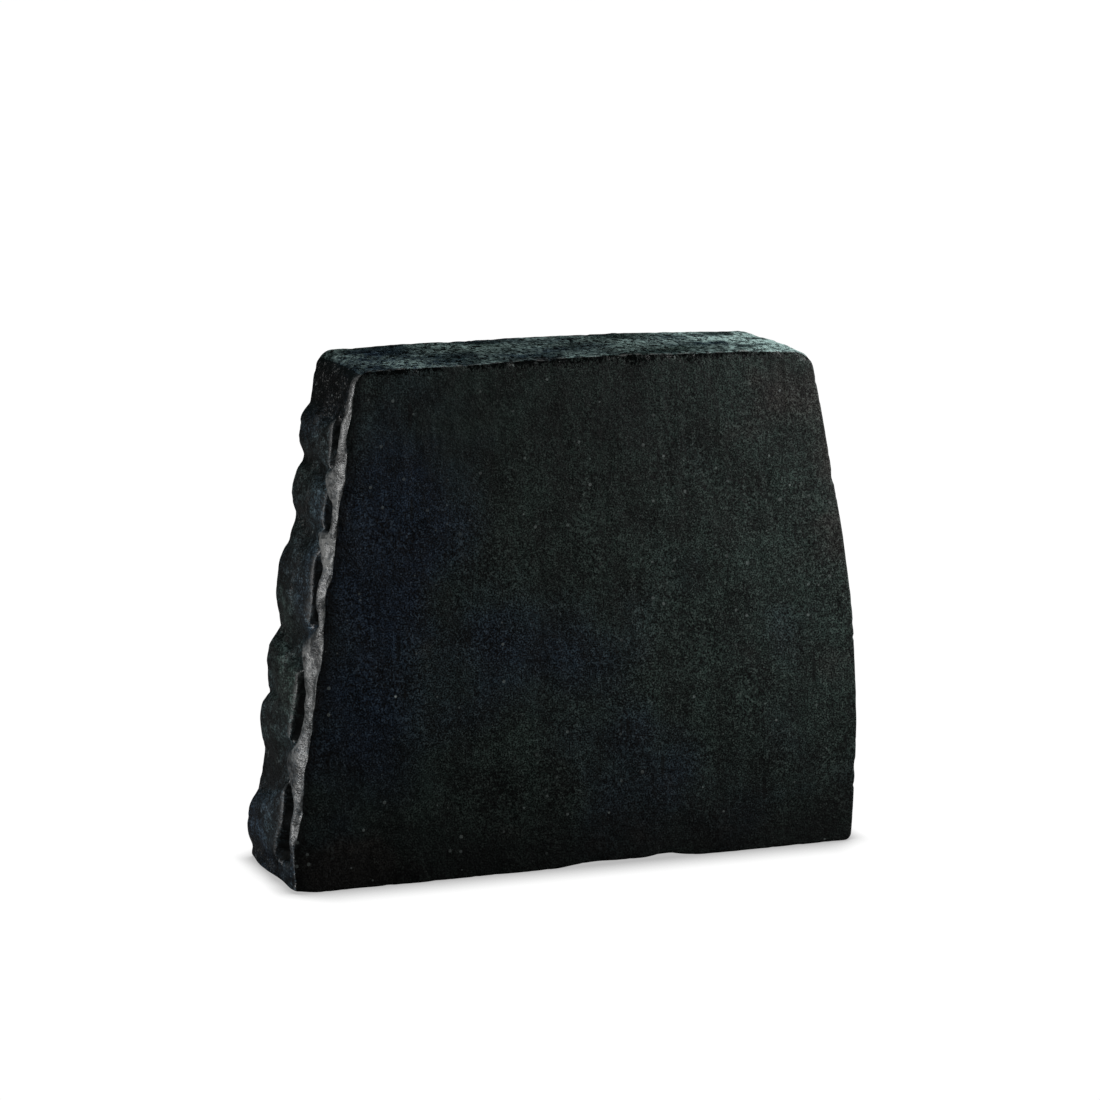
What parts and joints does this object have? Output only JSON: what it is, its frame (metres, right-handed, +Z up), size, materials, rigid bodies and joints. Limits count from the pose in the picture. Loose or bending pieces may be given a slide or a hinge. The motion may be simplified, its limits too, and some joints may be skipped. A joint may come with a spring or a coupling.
{
  "type": "charcoal soap slice",
  "caption": "Knife-cut slice of moulded black charcoal soap, wider at the foot than at the top, with raised moulded relief on its left end.",
  "frame": {"origin": "middle of the foot's box, on the surface the slice stands on", "axes": "+X along the slice from the relief end to the plain end, +Y from the front knife cut to the back one, +Z up"},
  "size_m": [0.079, 0.02, 0.0672],
  "materials": {
    "charcoal_soap": "matte black cast soap with a fine knife-drag grain, pale specks and a grey bloom on top"
  },
  "bodies": {
    "root": {"soap_slice": "charcoal_soap"}
  },
  "joints": []
}
